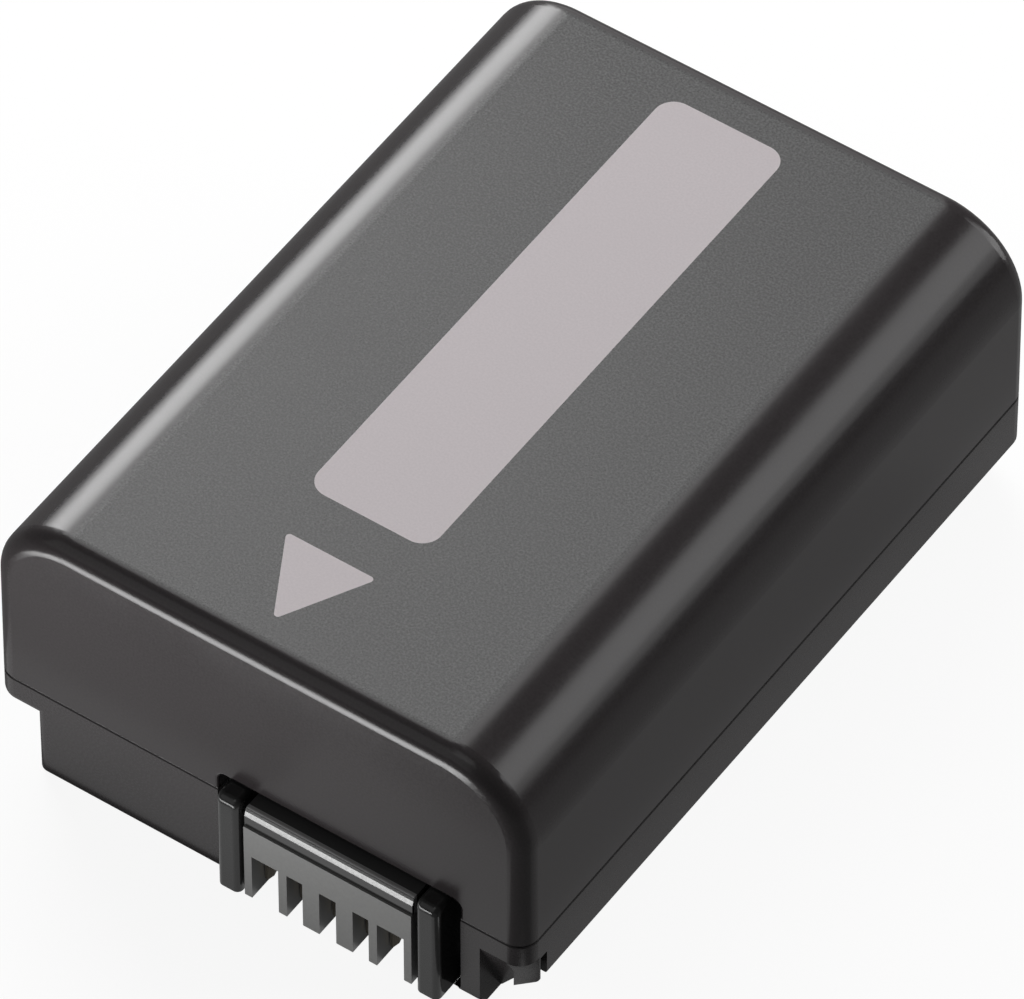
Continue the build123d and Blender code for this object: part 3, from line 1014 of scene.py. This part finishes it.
@dataclass
class CellPair:
    """Two round cells with their film, rings, straps, cards, lead and pads."""

    wardrobe: Wardrobe
    weld_pitch: float = 1.3 * MM
    spots: LowCones = LowCones(
        "spot_welds", Slot.STRAP, foot_radius=0.35 * MM, rise=0.04 * MM, rings=2
    )

    def dress(self) -> None:
        """Give the cells and what holds them a finish, and mark the spot welds."""
        parts = {
            "left_cell": Slot.CELL,
            "right_cell": Slot.CELL,
            "left_cell_sleeve": Slot.SLEEVE,
            "right_cell_sleeve": Slot.SLEEVE,
            "left_cell_ring": Slot.CARD,
            "right_cell_ring": Slot.CARD,
            "positive_strap": Slot.STRAP,
            "negative_strap": Slot.STRAP,
            "series_strap": Slot.STRAP,
            "midpoint_lead": Slot.LEAD,
            "front_insulator": Slot.CARD,
            "rear_insulator": Slot.CARD,
            "left_pad": Slot.FOAM,
            "right_pad": Slot.FOAM,
        }
        for node, slot in parts.items():
            self.wardrobe.dress(node, slot)
        self.welds()

    def welds(self) -> bpy.types.Object:
        """Press four low spot welds into the rear strap at each cell.

        Returns:
            The welds as one piece.
        """
        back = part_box("series_strap")[1].y
        half = self.weld_pitch / 2
        places = []
        for cell in ("left_cell", "right_cell"):
            low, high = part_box(cell)
            centre = (low + high) / 2
            places += [
                Vector((centre.x + side, back, centre.z + lift))
                for side in (-half, half)
                for lift in (-half, half)
            ]
        return self.spots.build(self.wardrobe, places)


def lit_rectangle(name: str, width: float, height: float, glow: float) -> bpy.types.Object:
    """Make an area lamp that the camera doesn't see.

    Args:
        name: name of the lamp.
        width: size along its own X, in metres.
        height: size along its own Y, in metres.
        glow: brightness of its face, 1 for white paper in full light.

    Returns:
        The lamp object, at the origin and facing down.
    """
    lamp = bpy.data.lights.new(name, "AREA")
    lamp.shape = "RECTANGLE"
    lamp.size = width
    lamp.size_y = height
    lamp.energy = glow * math.pi * width * height
    body = bpy.data.objects.new(name, lamp)
    bpy.context.scene.collection.objects.link(body)
    body.rotation_mode = "QUATERNION"
    body.visible_camera = False
    log.info("lamp %s", name)
    return body


@dataclass(frozen=True)
class SoftBox:
    """Studio lamp on a stand, facing the middle of the part; angles in degrees, sizes in metres."""

    name: str
    azimuth: float
    elevation: float
    width: float
    height: float
    glow: float
    distance: float = 0.5

    def set_up(self) -> None:
        """Hang the lamp at its angles; azimuth runs from the back, +Y, towards the right, +X."""
        turn, lift = math.radians(self.azimuth), math.radians(self.elevation)
        flat = math.cos(lift)
        way = Vector((math.sin(turn) * flat, math.cos(turn) * flat, math.sin(lift)))
        body = lit_rectangle(self.name, self.width, self.height, self.glow)
        body.location = Vector((0.0, 0.0, CAD_BOX[1].z / 2)) + way * self.distance
        body.rotation_quaternion = way.to_track_quat("Z", "Y")


@dataclass(frozen=True)
class FloorCard:
    """Lit card that lies face up on the floor beside the part; sizes in millimetres."""

    name: str
    left: float
    right: float
    near: float
    far: float
    glow: float
    level: float = 0.2

    def set_up(self) -> None:
        """Lay the card; near and far are measured forwards from the front of the case."""
        width, depth = (self.right - self.left) * MM, (self.far - self.near) * MM
        body = lit_rectangle(self.name, width, depth, self.glow)
        across = (self.left + self.right) / 2 * MM
        ahead = (self.near + self.far) / 2 * MM
        body.location = (across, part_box("upper_case")[0].y - ahead, self.level * MM)
        body.rotation_quaternion = (0.0, 1.0, 0.0, 0.0)


LAMPS: tuple[SoftBox | FloorCard, ...] = (
    SoftBox("key", azimuth=307.5, elevation=28, width=0.22, height=0.18, glow=8.0),
    SoftBox("key_below", azimuth=307.5, elevation=14, width=0.22, height=0.07, glow=3.2),
    SoftBox("key_above", azimuth=307.5, elevation=46, width=0.22, height=0.1, glow=2.0),
    SoftBox("right_fill", azimuth=45, elevation=36, width=0.42, height=0.21, glow=2.1),
    SoftBox("right_low_fill", azimuth=30, elevation=12, width=0.21, height=0.21, glow=2.6),
    SoftBox("right_side_fill", azimuth=52, elevation=19, width=0.3, height=0.09, glow=1.0),
    SoftBox("back_low_fill", azimuth=330, elevation=12, width=0.21, height=0.21, glow=0.8),
    SoftBox("back_fill", azimuth=330, elevation=36, width=0.21, height=0.21, glow=1.3),
    SoftBox("top_fill", azimuth=315, elevation=60, width=0.3, height=0.21, glow=2.1),
    SoftBox("front_fill", azimuth=205, elevation=34, width=0.5, height=0.36, glow=0.3),
    SoftBox("front_high_fill", azimuth=180, elevation=60, width=0.21, height=0.21, glow=0.6),
    FloorCard("near_card", left=-22, right=13, near=0.3, far=5.5, glow=0.45),
    FloorCard("middle_left_card", left=-25, right=-3, near=5.5, far=10, glow=0.22),
    FloorCard("middle_right_card", left=-3, right=13, near=5.5, far=10, glow=0.38),
    FloorCard("front_card", left=-31, right=4, near=16.5, far=50, glow=7.4),
    FloorCard("right_near_card", left=16.2, right=18.7, near=-60, far=-1.5, glow=0.18),
    FloorCard("right_card", left=18.7, right=110, near=-110, far=-1.5, glow=0.08),
    FloorCard("corner_card", left=16.2, right=18.4, near=0.2, far=2.2, glow=1.0),
)


@dataclass
class Studio:
    """White floor, soft light and surroundings."""

    floor_tone: float = 0.13
    floor_white: float = 0.91
    world_white: float = 1.0
    mirrored: float = 0.1
    side: float = 3.0
    drop: float = 0.01 * MM

    def build(self) -> None:
        """Lay the floor, hang the lamps and set the surroundings."""
        self.floor()
        for lamp in LAMPS:
            lamp.set_up()
        self.surroundings()

    def floor(self) -> None:
        """Lay a pale floor that is white to the camera and keeps the part's shadow."""
        half = self.side / 2
        level = CAD_BOX[0].z - self.drop
        corners = [(-half, -half), (half, -half), (half, half), (-half, half)]
        mesh = bpy.data.meshes.new("floor")
        mesh.from_pydata([(x, y, level) for x, y in corners], [], [(0, 1, 2, 3)])
        plane = bpy.data.objects.new("floor", mesh)
        bpy.context.scene.collection.objects.link(plane)
        mesh.materials.append(self.paper())

    def paper(self) -> bpy.types.Material:
        """Make the floor's material.

        Returns:
            The finished material.
        """
        material = bpy.data.materials.new("floor_paper")
        material.use_nodes = True
        tree = material.node_tree
        tree.nodes.clear()
        output = tree.nodes.new("ShaderNodeOutputMaterial")
        matt = tree.nodes.new("ShaderNodeBsdfDiffuse")
        matt.inputs["Color"].default_value = (*[self.floor_tone] * 3, 1.0)
        glow = tree.nodes.new("ShaderNodeEmission")
        both = tree.nodes.new("ShaderNodeAddShader")
        tree.links.new(self.seen(tree, self.floor_white), glow.inputs["Strength"])
        tree.links.new(matt.outputs["BSDF"], both.inputs[0])
        tree.links.new(glow.outputs["Emission"], both.inputs[1])
        tree.links.new(both.outputs["Shader"], output.inputs["Surface"])
        return material

    def seen(self, tree: bpy.types.NodeTree, white: float) -> bpy.types.NodeSocket:
        """Strength of a background's glow: full to the camera and in glass, dim in gloss.

        Args:
            tree: node tree of the floor or world.
            white: full strength.

        Returns:
            The strength socket.
        """
        path = tree.nodes.new("ShaderNodeLightPath")
        clear = tree.nodes.new("ShaderNodeMath")
        clear.operation = "MAXIMUM"
        tree.links.new(path.outputs["Is Camera Ray"], clear.inputs[0])
        tree.links.new(path.outputs["Is Transmission Ray"], clear.inputs[1])
        full = tree.nodes.new("ShaderNodeMapRange")
        full.inputs["To Max"].default_value = white
        tree.links.new(clear.outputs["Value"], full.inputs["Value"])
        dim = tree.nodes.new("ShaderNodeMapRange")
        dim.inputs["To Max"].default_value = self.mirrored
        tree.links.new(path.outputs["Is Glossy Ray"], dim.inputs["Value"])
        both = tree.nodes.new("ShaderNodeMath")
        both.operation = "MAXIMUM"
        tree.links.new(full.outputs["Result"], both.inputs[0])
        tree.links.new(dim.outputs["Result"], both.inputs[1])
        return both.outputs["Value"]

    def surroundings(self) -> None:
        """Set a world that is white to the camera and leaves the light to the lamps."""
        world = bpy.data.worlds.new("studio_white")
        bpy.context.scene.world = world
        world.use_nodes = True
        tree = world.node_tree
        sky = tree.nodes["Background"]
        sky.inputs["Color"].default_value = (1.0, 1.0, 1.0, 1.0)
        tree.links.new(self.seen(tree, self.world_white), sky.inputs["Strength"])


@dataclass(frozen=True)
class PhotoCamera:
    """Camera at the photograph's place; lens and sensor in millimetres, the rest in metres."""

    azimuth: float = 34.6767
    elevation: float = 49.1378
    lens: float = 442.46
    sensor: float = 36.0
    distance: float = 0.62482
    target: Triple = (0.0, 0.00055, 0.009)
    shift_x: float = -0.0041
    shift_y: float = -0.0102
    clip_start: float = 0.01
    clip_end: float = 20.0

    def set_up(self) -> None:
        """Make the camera and set it as the scene's own."""
        turn, lift = math.radians(self.azimuth), math.radians(self.elevation)
        flat = math.cos(lift)
        back = Vector((math.sin(turn) * flat, -math.cos(turn) * flat, math.sin(lift)))
        data = bpy.data.cameras.new("photo_camera")
        data.sensor_width = self.sensor
        data.sensor_fit = "HORIZONTAL"
        data.lens = self.lens
        data.shift_x = self.shift_x
        data.shift_y = self.shift_y
        data.clip_start = self.clip_start
        data.clip_end = self.clip_end
        body = bpy.data.objects.new("photo_camera", data)
        bpy.context.scene.collection.objects.link(body)
        body.location = Vector(self.target) + back * self.distance
        body.rotation_mode = "QUATERNION"
        body.rotation_quaternion = (-back).to_track_quat("-Z", "Y")
        bpy.context.scene.camera = body


def main() -> None:
    """Build and dress the part, then the studio and the camera."""
    logging.basicConfig(level=logging.INFO, format="%(name)s %(message)s")
    wardrobe = Wardrobe(FINISHES)
    for assembly in (MouldedCase, PrintedTop, TerminalBlock, ControlBoard, CellPair):
        assembly(wardrobe).dress()
    Studio().build()
    PhotoCamera().set_up()
    bpy.context.scene.view_settings.view_transform = "Standard"


if __name__ == "__main__":
    main()
